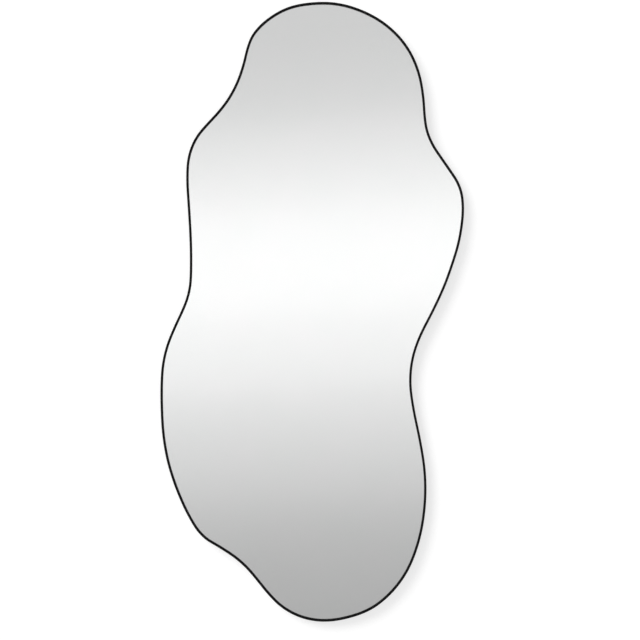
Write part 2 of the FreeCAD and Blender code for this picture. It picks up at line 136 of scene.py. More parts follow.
# %% [markdown]
# ## The studio round the mirror
#
# A mirror shows the room, not itself, so its grey comes from the world. In the photograph the glass is white
# at two fifths of its height from the top and darkens softly above and below, as in a studio with a bright
# band between a grey ceiling and a darker floor. A colour ramp over the height of the ray's direction gives
# that band. A second ramp, from left to right, puts pale panels to both sides, which show when the mirror is
# seen from the side. Only rays that have touched metal or glass see them. The camera sees plain white behind
# the object, and all matt surfaces get one even light.

# %% World
AMBIENT = 0.55
LOST_IN_THE_MIRROR = 1.035
BAND_TILT = math.radians(3)
BAND = [
    # height of the ray's direction, and the shade seen there, as a share of full brightness on the screen
    (-0.90, 0.86),
    (-0.60, 0.78),
    (-0.35, 0.70),
    (-0.19, 0.683),
    (-0.12, 0.776),
    (-0.05, 0.904),
    (0.00, 0.975),
    (0.04, 1.0),
    (0.08, 0.962),
    (0.13, 0.874),
    (0.17, 0.82),
    (0.22, 0.818),
    (0.42, 0.88),
    (0.65, 0.80),
    (0.90, 0.72),
]
PANELS = [
    # how far the ray's direction points to the right, and the shade there
    (-1.0, 0.82),
    (-0.72, 1.0),
    (-0.48, 0.86),
    (-0.22, 1.0),
    (0.22, 1.0),
    (0.48, 0.86),
    (0.72, 1.0),
    (1.0, 0.82),
]


def screen_to_light(shade):
    """The light that a screen shows at a share of its full brightness, by the sRGB curve."""
    return ((shade + 0.055) / 1.055) ** 2.4


def shaded_by(tree, value, stops):
    """The light at a value, from a smooth ramp through (value, shade) stops."""
    low, high = stops[0][0], stops[-1][0]
    share = add(tree, "ShaderNodeMapRange", {"Value": value, "From Min": low, "From Max": high}).outputs[0]
    ramp = add(tree, "ShaderNodeValToRGB", {"Fac": share})
    ramp.color_ramp.interpolation = "CARDINAL"
    elements = ramp.color_ramp.elements
    for level, shade in stops[1:-1]:
        elements.new((level - low) / (high - low))
    for element, (level, shade) in zip(elements, stops):
        light = screen_to_light(shade)
        element.color = (light, light, light, 1)
    return ramp.outputs[0]


world = bpy.data.worlds.new("studio")
bpy.context.scene.world = world
world.use_nodes = True
sky = world.node_tree
sky.nodes.clear()
direction = add(sky, "ShaderNodeTexCoord").outputs["Generated"]
tilted = add(sky, "ShaderNodeMapping", {"Vector": direction, "Rotation": (0, BAND_TILT, 0)}).outputs[0]
towards = add(sky, "ShaderNodeSeparateXYZ", {0: tilted}).outputs
band = shaded_by(sky, towards["Z"], BAND)
panels = shaded_by(sky, towards["X"], PANELS)
strength = maths(sky, "MULTIPLY", panels, LOST_IN_THE_MIRROR)

rays = add(sky, "ShaderNodeLightPath").outputs
shiny_ray = maths(sky, "MAXIMUM", rays["Is Glossy Ray"], rays["Is Transmission Ray"])
even_light = add(sky, "ShaderNodeBackground", {"Color": (1, 1, 1, 1), "Strength": AMBIENT}).outputs[0]
band_light = add(sky, "ShaderNodeBackground", {"Color": band, "Strength": strength}).outputs[0]
white = add(sky, "ShaderNodeBackground", {"Color": (1, 1, 1, 1), "Strength": 1.0}).outputs[0]
seen_by_things = add(sky, "ShaderNodeMixShader", {0: shiny_ray, 1: even_light, 2: band_light}).outputs[0]
seen = add(sky, "ShaderNodeMixShader", {0: rays["Is Camera Ray"], 1: seen_by_things, 2: white}).outputs[0]
add(sky, "ShaderNodeOutputWorld", {"Surface": seen})
print(f"studio with a band of {len(BAND)} shades and panels of {len(PANELS)}")

# %% [markdown]
# ## The wall and the floor
#
# The mirror hangs on a white wall, and its shadow is all that shows of it. The wall is matt paint with a little
# glow for the camera alone, so that it stays white where nothing shades it. Seen from behind it is clear, so
# the back of the mirror can be looked at too. It throws no shadow and no light on the mirror.

# %% Wall and floor
WALL_SIZE = 8.0
BEHIND_BUMPERS = 0.0003
FLOOR_DROP = 0.35
PAINT = 0.44
GLOW = 0.64


def studio_paint():
    """Matt white that is clear from behind, with a glow that only the camera sees."""
    paint = bpy.data.materials.new("studio_paint")
    paint.use_nodes = True
    tree = paint.node_tree
    tree.nodes.clear()
    camera_ray = add(tree, "ShaderNodeLightPath").outputs["Is Camera Ray"]
    glow = add(tree, "ShaderNodeEmission", {"Strength": maths(tree, "MULTIPLY", camera_ray, GLOW)})
    matt = add(tree, "ShaderNodeBsdfDiffuse", {"Color": (PAINT, PAINT, PAINT, 1)})
    both = add(tree, "ShaderNodeAddShader", {0: glow.outputs[0], 1: matt.outputs[0]})
    clear = add(tree, "ShaderNodeBsdfTransparent")
    behind = add(tree, "ShaderNodeNewGeometry").outputs["Backfacing"]
    sides = add(tree, "ShaderNodeMixShader", {0: behind, 1: both.outputs[0], 2: clear.outputs[0]})
    add(tree, "ShaderNodeOutputMaterial", {"Surface": sides.outputs[0]})
    return paint


def studio_plane(name, location, rotation, paint):
    """A large flat sheet that shows itself, and the shadows on it, to the camera only."""
    bpy.ops.object.select_all(action="DESELECT")
    bpy.ops.mesh.primitive_plane_add(size=WALL_SIZE, location=location, rotation=rotation)
    plane = bpy.context.object
    plane.name = name
    plane.data.materials.append(paint)
    for kind in ("visible_diffuse", "visible_glossy", "visible_transmission", "visible_shadow"):
        setattr(plane, kind, False)
    return plane


paint = studio_paint()
floor_level = cad_box[0][2] - FLOOR_DROP
studio_plane("wall", (0, BEHIND_BUMPERS, floor_level + WALL_SIZE / 2), (math.radians(90), 0, 0), paint)
studio_plane("floor", (0, BEHIND_BUMPERS - WALL_SIZE / 2, floor_level), (0, 0, 0), paint)
print(f"floor {FLOOR_DROP} m below the mirror")

# %% [markdown]
# ## The lamps
#
# The shadow falls a finger's width to the right and down, with a soft rim, so the main light stands at the
# upper left and is large. A sun with a wide disc gives the same shadow over the whole wall. A second one does
# the same for the back, which the first can't reach. The main light is kept out of reflections. Its bright disc
# would show in the mirror from the side, and turn the black frame white at very flat angles.

# %% Lamps
def sun(name, towards, strength, disc):
    """A sun that stands towards a direction, with a disc in degrees that sets how soft its shadows are."""
    bpy.ops.object.light_add(type="SUN", rotation=Vector(towards).to_track_quat("Z", "Y").to_euler())
    lamp = bpy.context.object
    lamp.name = name
    lamp.data.energy = strength
    lamp.data.angle = math.radians(disc)
    return lamp


main_light = sun("main_light", towards=(-1.3, -1.0, 1.15), strength=2.85, disc=40)
main_light.visible_glossy = False
main_light.visible_transmission = False
back_light = sun("back_light", towards=(0.8, 1.0, 0.9), strength=2.2, disc=32)
print("lamps:", main_light.name, "and", back_light.name)

# %% [markdown]
# ## Effects that several finishes share
#
# Nothing real has one flat colour. Four small node groups give what most finishes need: a mottle that drifts
# between two shades, a fine grain for bumps and sheen, a mask for rounded edges, and a mask for dust that
# settles on what faces up. They read Object coordinates, which are metres here, so a scale of 1000 makes
# patches of about a millimetre. The two masks also read which way the surface faces.

# %% Node groups
SLANT_TO_FULL = 4.0  # a share times what is left of it is a quarter at most


def new_group(name, inputs, outputs):
    """An empty node group with named sockets, and its two ends."""
    group = bpy.data.node_groups.new(name, "ShaderNodeTree")
    for label, kind, value in inputs:
        socket = group.interface.new_socket(label, in_out="INPUT", socket_type="NodeSocket" + kind)
        socket.default_value = value
    for label, kind in outputs:
        group.interface.new_socket(label, in_out="OUTPUT", socket_type="NodeSocket" + kind)
    return group, add(group, "NodeGroupInput").outputs, add(group, "NodeGroupOutput").inputs


def on_object(tree):
    """Coordinates that stay with the object, in metres."""
    return add(tree, "ShaderNodeTexCoord").outputs["Object"]


def facing(tree, axis):
    """How far the surface faces along one of the object's axes, from -1 to 1."""
    normal = add(tree, "ShaderNodeTexCoord").outputs["Normal"]
    return add(tree, "ShaderNodeSeparateXYZ", {0: normal}).outputs[axis]


def make_mottle():
    """Two shades that drift into each other in patches."""
    inputs = [("Shade", "Color", (1, 1, 1, 1)), ("Other shade", "Color", (0, 0, 0, 1)),
              ("Scale", "Float", 50.0), ("Detail", "Float", 4.0)]
    group, given, out = new_group("mottle", inputs, [("Color", "Color"), ("Share", "Float")])
    noise = add(group, "ShaderNodeTexNoise", {"Vector": on_object(group), "Scale": given["Scale"],
                                              "Detail": given["Detail"], "Roughness": 0.6})
    share = add(group, "ShaderNodeMapRange", {"Value": noise.outputs["Fac"], "From Min": 0.3,
                                              "From Max": 0.7}, interpolation_type="SMOOTHSTEP").outputs[0]
    mix = add(group, "ShaderNodeMix", {"Factor": share, 6: given["Shade"], 7: given["Other shade"]},
              data_type="RGBA")
    group.links.new(mix.outputs[2], out["Color"])
    group.links.new(share, out["Share"])
    return group


def make_grain():
    """A fine grain between a low and a high value, for roughness or bumps."""
    inputs = [("Scale", "Float", 1000.0), ("Low", "Float", 0.0), ("High", "Float", 1.0),
              ("Stretch", "Vector", (1, 1, 1))]
    group, given, out = new_group("grain", inputs, [("Value", "Float")])
    stretched = add(group, "ShaderNodeVectorMath", {0: on_object(group), 1: given["Stretch"]},
                    operation="MULTIPLY").outputs[0]
    noise = add(group, "ShaderNodeTexNoise", {"Vector": stretched, "Scale": given["Scale"],
                                              "Detail": 3.0, "Roughness": 0.55})
    value = add(group, "ShaderNodeMapRange", {"Value": noise.outputs["Fac"], "From Min": 0.25,
                                              "From Max": 0.75, "To Min": given["Low"],
                                              "To Max": given["High"]}).outputs[0]
    group.links.new(value, out["Value"])
    return group


def make_edge_mask():
    """High on the rounded front edges of the profile, where the surface faces half forwards."""
    inputs = [("Amount", "Float", 1.0)]
    group, given, out = new_group("rounded edge", inputs, [("Mask", "Float")])
    forwards = facing(group, "Y")
    squared = maths(group, "MULTIPLY", forwards, forwards)
    slanted = maths(group, "MULTIPLY", squared, maths(group, "SUBTRACT", 1.0, squared))
    patchy = add(group, "ShaderNodeTexNoise", {"Vector": on_object(group), "Scale": 60.0,
                                               "Detail": 5.0}).outputs["Fac"]
    mask = maths(group, "MULTIPLY", maths(group, "MULTIPLY", slanted, SLANT_TO_FULL), patchy)
    group.links.new(maths(group, "MULTIPLY", mask, given["Amount"]), out["Mask"])
    return group


def make_dust():
    """Thin dust, thicker on what faces up."""
    inputs = [("Amount", "Float", 0.3)]
    group, given, out = new_group("dust", inputs, [("Mask", "Float")])
    lying = add(group, "ShaderNodeMapRange", {"Value": facing(group, "Z"), "From Min": -0.2,
                                              "From Max": 1.0, "To Min": 0.15, "To Max": 1.0}).outputs[0]
    patchy = add(group, "ShaderNodeTexNoise", {"Vector": on_object(group), "Scale": 180.0,
                                               "Detail": 6.0}).outputs["Fac"]
    mask = maths(group, "MULTIPLY", maths(group, "MULTIPLY", lying, patchy), given["Amount"])
    group.links.new(mask, out["Mask"])
    return group


MOTTLE = make_mottle()
GRAIN = make_grain()
EDGE_MASK = make_edge_mask()
DUST = make_dust()
print("shared effects:", ", ".join(group.name for group in bpy.data.node_groups))

# %% [markdown]
# ## How a finish is put together
#
# Every finish starts from one Principled shader. What is the same all over is set on its sockets. What varies
# over the surface comes from the shared effects: a colour between two shades, a roughness with a grain, and a
# normal that follows small bumps.

# %% Helpers for finishes
def new_finish(name, **plain):
    """A material with a Principled shader, whose plain sockets are set by name."""
    material = bpy.data.materials.new(name)
    material.use_nodes = True
    shader = material.node_tree.nodes["Principled BSDF"]
    for label, value in plain.items():
        shader.inputs[label.replace("_", " ")].default_value = value
    return material, material.node_tree, shader.inputs


def use(tree, group, **inputs):
    """A shared effect placed in a tree, with its own values."""
    settings = {name.replace("_", " "): value for name, value in inputs.items()}
    placed = add(tree, "ShaderNodeGroup", node_tree=group)
    for name, value in settings.items():
        if isinstance(value, bpy.types.NodeSocket):
            tree.links.new(value, placed.inputs[name])
        else:
            placed.inputs[name].default_value = value
    return placed.outputs


def blend(tree, share, a, b):
    """A colour between two, by a share from 0 to 1."""
    return add(tree, "ShaderNodeMix", {"Factor": share, 6: a, 7: b}, data_type="RGBA").outputs[2]


def bumps(tree, height, depth, strength=1.0):
    """A normal that follows a height, where depth is in metres."""
    return add(tree, "ShaderNodeBump", {"Height": height, "Distance": depth,
                                        "Strength": strength}).outputs[0]


def shade(red, green, blue):
    return (red, green, blue, 1.0)


# %% [markdown]
# ## Black powder coat
#
# The frame is aluminium with a satin black powder coat. Up close it has a faint orange peel about a millimetre
# wide, and the rounded edges are rubbed a little paler. In the photograph the line is almost pure black, so the
# shade is very dark and the sheen is kept low.

# %% Powder coat
def powder_coat():
    material, tree, sockets = new_finish("powder_coat_black", Specular_IOR_Level=0.12)
    colour = use(tree, MOTTLE, Shade=shade(0.002, 0.002, 0.0022), Other_shade=shade(0.005, 0.005, 0.0054),
                 Scale=120.0)["Color"]
    rubbed = use(tree, EDGE_MASK, Amount=0.2)["Mask"]
    dusty = use(tree, DUST, Amount=0.01)["Mask"]
    colour = blend(tree, rubbed, colour, shade(0.02, 0.02, 0.021))
    colour = blend(tree, dusty, colour, shade(0.3, 0.29, 0.27))
    tree.links.new(colour, sockets["Base Color"])
    tree.links.new(use(tree, GRAIN, Scale=700.0, Low=0.36, High=0.5)["Value"], sockets["Roughness"])
    peel = use(tree, GRAIN, Scale=900.0)["Value"]
    tree.links.new(bumps(tree, peel, depth=0.00004, strength=0.5), sockets["Normal"])
    return material


POWDER_COAT = powder_coat()

# %% [markdown]
# ## Glass and silver
#
# A mirror is a clear sheet with a film of silver behind it, and the two are separate pieces here as well. Light
# goes through the glass, comes back from the silver, and passes the glass again, which gives the slight depth
# at the rim. Both are nearly perfect: only a trace of smear breaks up the sheen.

# %% Glass and silver
def clear_glass():
    material, tree, sockets = new_finish("clear_glass", Transmission_Weight=1.0, IOR=1.52)
    tint = use(tree, MOTTLE, Shade=shade(0.996, 1.0, 0.998), Other_shade=shade(1.0, 1.0, 1.0),
               Scale=8.0)["Color"]
    tree.links.new(tint, sockets["Base Color"])
    tree.links.new(use(tree, GRAIN, Scale=30.0, Low=0.0, High=0.004)["Value"], sockets["Roughness"])
    return material


def silver_coat():
    material, tree, sockets = new_finish("silver_coat", Metallic=1.0)
    colour = use(tree, MOTTLE, Shade=shade(0.965, 0.968, 0.966), Other_shade=shade(0.975, 0.975, 0.975),
                 Scale=6.0)["Color"]
    tree.links.new(colour, sockets["Base Color"])
    tree.links.new(use(tree, GRAIN, Scale=25.0, Low=0.0, High=0.006)["Value"], sockets["Roughness"])
    return material


CLEAR_GLASS = clear_glass()
SILVER_COAT = silver_coat()

# %% [markdown]
# ## Film, sealant and foam
#
# Behind the silver lies a grey safety film with a thin weave that holds the pieces if the glass breaks. A pale
# bead of sealant and four foam tapes carry the glass. They show only when the mirror is taken apart, but each
# has its own surface: a woven one, a slightly wavy one, and one full of pores.

# %% Film, sealant and foam
def woven_film():
    material, tree, sockets = new_finish("woven_safety_film")
    place = on_object(tree)
    across = add(tree, "ShaderNodeTexWave", {"Vector": place, "Scale": 160.0}, bands_direction="X")
    along = add(tree, "ShaderNodeTexWave", {"Vector": place, "Scale": 160.0}, bands_direction="Z")
    threads = maths(tree, "MAXIMUM", across.outputs["Fac"], along.outputs["Fac"])
    colour = blend(tree, threads, shade(0.27, 0.29, 0.30), shade(0.42, 0.44, 0.45))
    tree.links.new(colour, sockets["Base Color"])
    tree.links.new(use(tree, GRAIN, Scale=400.0, Low=0.45, High=0.6)["Value"], sockets["Roughness"])
    tree.links.new(bumps(tree, threads, depth=0.00005), sockets["Normal"])
    return material


def sealant():
    material, tree, sockets = new_finish("pale_sealant")
    colour = use(tree, MOTTLE, Shade=shade(0.72, 0.72, 0.70), Other_shade=shade(0.79, 0.79, 0.77),
                 Scale=90.0)["Color"]
    tree.links.new(colour, sockets["Base Color"])
    tree.links.new(use(tree, GRAIN, Scale=300.0, Low=0.3, High=0.45)["Value"], sockets["Roughness"])
    tree.links.new(bumps(tree, use(tree, GRAIN, Scale=150.0)["Value"], depth=0.0002), sockets["Normal"])
    return material


def foam():
    material, tree, sockets = new_finish("white_foam")
    place = on_object(tree)
    pores = add(tree, "ShaderNodeTexVoronoi", {"Vector": place, "Scale": 900.0}).outputs["Distance"]
    # The pores are painted darker where the bumps sink in: painted shade inside each pore, not a colour of the
    # foam.
    colour = blend(tree, pores, shade(0.62, 0.62, 0.60), shade(0.9, 0.9, 0.88))
    tree.links.new(colour, sockets["Base Color"])
    tree.links.new(use(tree, GRAIN, Scale=500.0, Low=0.8, High=0.95)["Value"], sockets["Roughness"])
    tree.links.new(bumps(tree, pores, depth=0.0004), sockets["Normal"])
    return material


WOVEN_FILM = woven_film()
SEALANT = sealant()
FOAM = foam()

# %% [markdown]
# ## Fibreboard
#
# The back is plain fibreboard: warm brown, pressed from fine fibres. Three layers make it up: broad patches
# where the sheet is a little darker, pale fibres that curl every way, and a few dark specks. A ridged noise
# draws the fibres, because its ridges are thin lines.

# %% Fibreboard
def fibreboard():
    material, tree, sockets = new_finish("fibreboard", Specular_IOR_Level=0.3)
    broad = use(tree, MOTTLE, Shade=shade(0.43, 0.30, 0.18), Other_shade=shade(0.465, 0.33, 0.203),
                Scale=4.0, Detail=3.0)["Color"]
    clumps = use(tree, MOTTLE, Scale=160.0, Detail=6.0)["Share"]
    colour = blend(tree, maths(tree, "MULTIPLY", clumps, 0.3), broad, shade(0.375, 0.255, 0.15))
    place = on_object(tree)
    strands = add(tree, "ShaderNodeTexNoise", {"Vector": place, "Scale": 420.0, "Detail": 4.0,
                                               "Roughness": 0.6, "Distortion": 1.2},
                  noise_type="RIDGED_MULTIFRACTAL").outputs["Fac"]
    fibres = add(tree, "ShaderNodeMapRange", {"Value": strands, "From Min": 0.45, "From Max": 1.1}).outputs[0]
    colour = blend(tree, maths(tree, "MULTIPLY", fibres, 0.45), colour, shade(0.63, 0.475, 0.32))
    flecks = add(tree, "ShaderNodeTexNoise", {"Vector": place, "Scale": 650.0, "Detail": 2.0}).outputs["Fac"]
    dark = add(tree, "ShaderNodeMapRange", {"Value": flecks, "From Min": 0.34, "From Max": 0.24,
                                            "To Max": 0.6}).outputs[0]
    colour = blend(tree, dark, colour, shade(0.22, 0.14, 0.08))
    colour = blend(tree, use(tree, DUST, Amount=0.1)["Mask"], colour, shade(0.6, 0.55, 0.48))
    tree.links.new(colour, sockets["Base Color"])
    tree.links.new(use(tree, GRAIN, Scale=600.0, Low=0.68, High=0.88)["Value"], sockets["Roughness"])
    tree.links.new(bumps(tree, fibres, depth=0.0001, strength=0.5), sockets["Normal"])
    return material


FIBREBOARD = fibreboard()

# %% [markdown]
# ## Zinc, black steel and rubber
#
# The straps, the rings and their screws are zinc-plated steel: bright, a little cloudy, with fine scratches.
# The countersunk screws are blackened, with steel showing at their rims. The plate at the frame's joint is
# brushed along its length. The bumpers are matt black rubber.

# %% Metals and rubber
def zinc_plate():
    material, tree, sockets = new_finish("zinc_plate", Metallic=1.0)
    cloudy = use(tree, MOTTLE, Shade=shade(0.60, 0.62, 0.66), Other_shade=shade(0.76, 0.76, 0.74),
                 Scale=260.0, Detail=6.0)["Color"]
    dull = use(tree, MOTTLE, Scale=90.0)["Share"]
    colour = blend(tree, maths(tree, "MULTIPLY", dull, 0.35), cloudy, shade(0.50, 0.50, 0.50))
    tree.links.new(colour, sockets["Base Color"])
    tree.links.new(use(tree, GRAIN, Scale=500.0, Low=0.24, High=0.42)["Value"], sockets["Roughness"])
    scratches = use(tree, GRAIN, Scale=700.0, Stretch=(6.0, 1.0, 0.4))["Value"]
    tree.links.new(bumps(tree, scratches, depth=0.00002, strength=0.6), sockets["Normal"])
    return material


def black_steel():
    material, tree, sockets = new_finish("blackened_steel", Specular_IOR_Level=0.5)
    colour = use(tree, MOTTLE, Shade=shade(0.018, 0.018, 0.020), Other_shade=shade(0.045, 0.045, 0.047),
                 Scale=900.0)["Color"]
    colour = blend(tree, use(tree, EDGE_MASK, Amount=0.5)["Mask"], colour, shade(0.16, 0.16, 0.17))
    tree.links.new(colour, sockets["Base Color"])
    tree.links.new(use(tree, GRAIN, Scale=1200.0, Low=0.3, High=0.5)["Value"], sockets["Roughness"])
    tree.links.new(bumps(tree, use(tree, GRAIN, Scale=1500.0)["Value"], depth=0.00002), sockets["Normal"])
    return material


def brushed_plate():
    material, tree, sockets = new_finish("brushed_plate", Metallic=1.0)
    lines = use(tree, GRAIN, Scale=900.0, Stretch=(0.03, 1.0, 1.0))["Value"]
    colour = blend(tree, lines, shade(0.48, 0.49, 0.51), shade(0.62, 0.63, 0.65))
    tree.links.new(colour, sockets["Base Color"])
    tree.links.new(use(tree, GRAIN, Scale=300.0, Low=0.28, High=0.4)["Value"], sockets["Roughness"])
    tree.links.new(bumps(tree, lines, depth=0.00002, strength=0.5), sockets["Normal"])
    return material


def matt_rubber():
    material, tree, sockets = new_finish("matt_rubber", Specular_IOR_Level=0.4)
    colour = use(tree, MOTTLE, Shade=shade(0.022, 0.022, 0.022), Other_shade=shade(0.036, 0.035, 0.034),
                 Scale=300.0)["Color"]
    colour = blend(tree, use(tree, DUST, Amount=0.3)["Mask"], colour, shade(0.32, 0.30, 0.27))
    tree.links.new(colour, sockets["Base Color"])
    tree.links.new(use(tree, GRAIN, Scale=800.0, Low=0.6, High=0.8)["Value"], sockets["Roughness"])
    tree.links.new(bumps(tree, use(tree, GRAIN, Scale=1600.0)["Value"], depth=0.00004), sockets["Normal"])
    return material


ZINC_PLATE = zinc_plate()
BLACK_STEEL = black_steel()
BRUSHED_PLATE = brushed_plate()
MATT_RUBBER = matt_rubber()
print("finishes:", len(bpy.data.materials))

# %% [markdown]
# ## Dressing a solid
#
# The workshop model arrives as loose triangles with hard edges. A copy of each is merged into one skin, set to
# shade smoothly across shallow edges and sharply across steep ones, and given its finish. Large flat faces
# decide the shading next to them, which keeps them flat: that is what weighted normals are for. The copy then
# stands in for the solid and moves with the same body.

# %% Helpers for dressing
MERGE_DISTANCE = 0.000002
SMOOTH_BELOW = math.radians(32)


def select_only(piece):
    bpy.ops.object.select_all(action="DESELECT")
    piece.select_set(True)
    bpy.context.view_layer.objects.active = piece


@contextmanager
def editing(piece):
    """Edit mode on one piece, for the lines inside a with block."""
    select_only(piece)
    bpy.ops.object.mode_set(mode="EDIT")
    yield
    bpy.ops.object.mode_set(mode="OBJECT")


def merged_copy(node, name):
    """One skin from a solid's loose triangles, in an object of its own."""
    piece = bpy.data.objects.new(name, frame["nodes"][node].data.copy())
    bpy.context.scene.collection.objects.link(piece)
    select_only(piece)
    bpy.ops.mesh.customdata_custom_splitnormals_clear()
    with editing(piece):
        bpy.ops.mesh.select_all(action="SELECT")
        bpy.ops.mesh.remove_doubles(threshold=MERGE_DISTANCE)
    return piece


def finished(piece, node, finish):
    """The piece gets its finish and its shading, and stands in for a solid from now on."""
    piece.data.name = piece.name
    piece.data.materials.clear()
    piece.data.materials.append(finish)
    select_only(piece)
    bpy.ops.object.shade_smooth_by_angle(angle=SMOOTH_BELOW)
    modifier = piece.modifiers.new("flat faces first", "WEIGHTED_NORMAL")
    modifier.keep_sharp = True
    bpy.ops.object.modifier_apply(modifier=modifier.name)
    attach(piece, frame["nodes"][node]["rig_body"])
    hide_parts(node)
    print(f"{piece.name}: {len(piece.data.polygons)} faces")
    return piece


def dressed(node, name, finish):
    return finished(merged_copy(node, name), node, finish)


# %% [markdown]
# ## A smooth outline
#
# The solids have their curves cut into straight runs of up to 3 cm, which show up close. The real frame is
# bent smoothly. The rim of the silver is a clean closed loop, so its corners become the points of a curve with
# automatic handles, which flows through them. Frame, glass, silver and board all run parallel to it, so one
# curve shapes all four. A flat curve lies in its own xy plane, so the outline is laid down while it is worked
# on, and each piece is stood up again when it is done.

# %% Outline curve
STEPS_PER_POINT = 6
UPRIGHT = math.radians(90)
FORWARDS = -0.9  # the y of a normal that faces the room
POINTS = (True, False, False)
FACES = (False, False, True)


def select_by(piece, mode, parts, test):
    """Select only those of a mesh's parts that a test picks, for the next time it is edited."""
    for kind in (piece.data.vertices, piece.data.edges, piece.data.polygons):
        kind.foreach_set("select", [False] * len(kind))
    bpy.context.tool_settings.mesh_select_mode = mode
    for part in parts:
        part.select = test(part)


def select_faces(piece, test):
    select_by(piece, FACES, piece.data.polygons, test)


def select_points(piece, test):
    select_by(piece, POINTS, piece.data.vertices, test)


def outline_curve(node):
    """A smooth closed curve through the front rim of a plate, lying down."""
    rim = merged_copy(node, "outline")
    select_faces(rim, lambda face: face.normal.y > FORWARDS)
    with editing(rim):
        bpy.ops.mesh.delete(type="FACE")
        bpy.ops.mesh.select_all(action="SELECT")
        bpy.ops.mesh.dissolve_faces()
        bpy.ops.mesh.delete(type="ONLY_FACE")
    rim.data.transform(Matrix.Rotation(-UPRIGHT, 4, "X"))
    bpy.ops.object.convert(target="CURVE")
    curve = bpy.context.object
    with editing(curve):
        bpy.ops.curve.select_all(action="SELECT")
        bpy.ops.curve.spline_type_set(type="BEZIER")
        bpy.ops.curve.handle_type_set(type="AUTOMATIC")
    curve.data.dimensions = "2D"
    curve.data.resolution_u = STEPS_PER_POINT
    return curve


def copy_of_outline():
    curve = outline.copy()
    curve.data = outline.data.copy()
    bpy.context.scene.collection.objects.link(curve)
    return curve


def stood_up(curve, name):
    """A mesh made from a lying curve and stood up in its place."""
    select_only(curve)
    curve.rotation_euler.x = UPRIGHT
    bpy.ops.object.convert(target="MESH")
    bpy.ops.object.transform_apply()
    piece = bpy.context.object
    piece.name = name
    with editing(piece):
        bpy.ops.mesh.select_all(action="SELECT")
        bpy.ops.mesh.remove_doubles(threshold=MERGE_DISTANCE)
        bpy.ops.mesh.normals_make_consistent(inside=False)
    return piece


def across(node):
    low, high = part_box(node)
    return high.x - low.x


def beyond_silver(node):
    """How far a piece's edge lies outside the silver's."""
    return (across(node) - across("silver_coating")) / 2


outline = outline_curve("silver_coating")
print("outline through", len(outline.data.splines[0].bezier_points), "points")

# %% [markdown]
# ## The frame's profile
#
# A frame like this is extruded aluminium, bent round a form. Its profile has a lip over the glass, an outer
# wall, and a ledge between the glass and the board. It is drawn as one would with a pencil: a point is pulled
# from corner to corner, the last corner is joined to the first, and the front corners are rounded.

# %% Profile
LIP_WIDTH = 0.006
WALL_THICKNESS = 0.0015
LEDGE_WIDTH = 0.013
FRONT_ROUNDING = 0.0005
BACK_ROUNDING = 0.0002

outer = -beyond_silver("frame_rail")
lip_edge = outer + LIP_WIDTH
wall_face = outer + WALL_THICKNESS
ledge_edge = outer + LEDGE_WIDTH
frame_front, frame_back = [-corner.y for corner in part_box("frame_rail")]
lip_back = -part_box("mirror_glass")[0].y
ledge_front = -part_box("glazing_seal")[1].y
ledge_back = -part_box("backing_board")[0].y
corners = [
    # how far inwards of the silver's rim, and how far in front of the wall
    Vector((outer, frame_back, 0)),
    Vector((outer, frame_front, 0)),
    Vector((lip_edge, frame_front, 0)),
    Vector((lip_edge, lip_back, 0)),
    Vector((wall_face, lip_back, 0)),
    Vector((wall_face, ledge_front, 0)),
    Vector((ledge_edge, ledge_front, 0)),
    Vector((ledge_edge, ledge_back, 0)),
    Vector((wall_face, ledge_back, 0)),
    Vector((wall_face, frame_back, 0)),
]

bpy.context.tool_settings.mesh_select_mode = POINTS
bpy.ops.object.select_all(action="DESELECT")
bpy.ops.mesh.primitive_plane_add(size=WALL_THICKNESS)
profile = bpy.context.object
with editing(profile):
    bpy.ops.mesh.select_all(action="SELECT")
    bpy.ops.mesh.merge(type="CENTER")
    bpy.ops.transform.translate(value=corners[0])
    for here, there in zip(corners, corners[1:]):
        bpy.ops.mesh.extrude_region_move(TRANSFORM_OT_translate={"value": there - here})


def at_an_end(point):
    return any((point.co - end).length < MERGE_DISTANCE for end in (corners[0], corners[-1]))


select_points(profile, at_an_end)
with editing(profile):
    bpy.ops.mesh.edge_face_add()
for level, rounding, steps in ((frame_front, FRONT_ROUNDING, 4), (frame_back, BACK_ROUNDING, 2)):
    select_points(profile, lambda point: abs(point.co.y - level) < MERGE_DISTANCE)
    with editing(profile):
        bpy.ops.mesh.bevel(offset=rounding, segments=steps, affect="VERTICES")
print("profile with", len(profile.data.vertices), "corners")

# %% [markdown]
# ## Bending the frame
#
# A curve can carry a second curve as its bevel object: the profile is then swept along the outline, as the
# bending machine does. It becomes a mesh, and two cuts a fifth of a millimetre apart open the joint at the
# lowest point. The thin slice between them is deleted, and the two open ends are closed again.

# %% Frame
JOINT_GAP = 0.0002
NEAR_JOINT = 0.02

select_only(profile)
bpy.ops.object.convert(target="CURVE")
profile = bpy.context.object
profile.data.dimensions = "2D"
swept = copy_of_outline()
swept.data.bevel_mode = "OBJECT"
swept.data.bevel_object = profile
swept.data.fill_mode = "NONE"
black_frame = stood_up(swept, "black_frame")

joint_middle = sum(corner.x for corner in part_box("frame_joint_plate")) / 2
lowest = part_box("frame_rail")[0].z


def by_joint(reach):
    """A test for faces that lie at the joint, within a reach to both sides."""
    return lambda face: abs(face.center.x - joint_middle) < reach and face.center.z < lowest + NEAR_JOINT


for side in (-1, 1):
    select_faces(black_frame, by_joint(NEAR_JOINT))
    with editing(black_frame):
        bpy.ops.mesh.bisect(plane_co=(joint_middle + side * JOINT_GAP / 2, 0, 0), plane_no=(1, 0, 0))
select_faces(black_frame, by_joint(JOINT_GAP / 2))
with editing(black_frame):
    bpy.ops.mesh.delete(type="FACE")
    bpy.ops.mesh.select_all(action="SELECT")
    bpy.ops.mesh.fill_holes(sides=0)
    bpy.ops.mesh.normals_make_consistent(inside=False)
print(f"joint at x = {joint_middle * 1000:.1f} mm, {JOINT_GAP * 1000} mm wide")

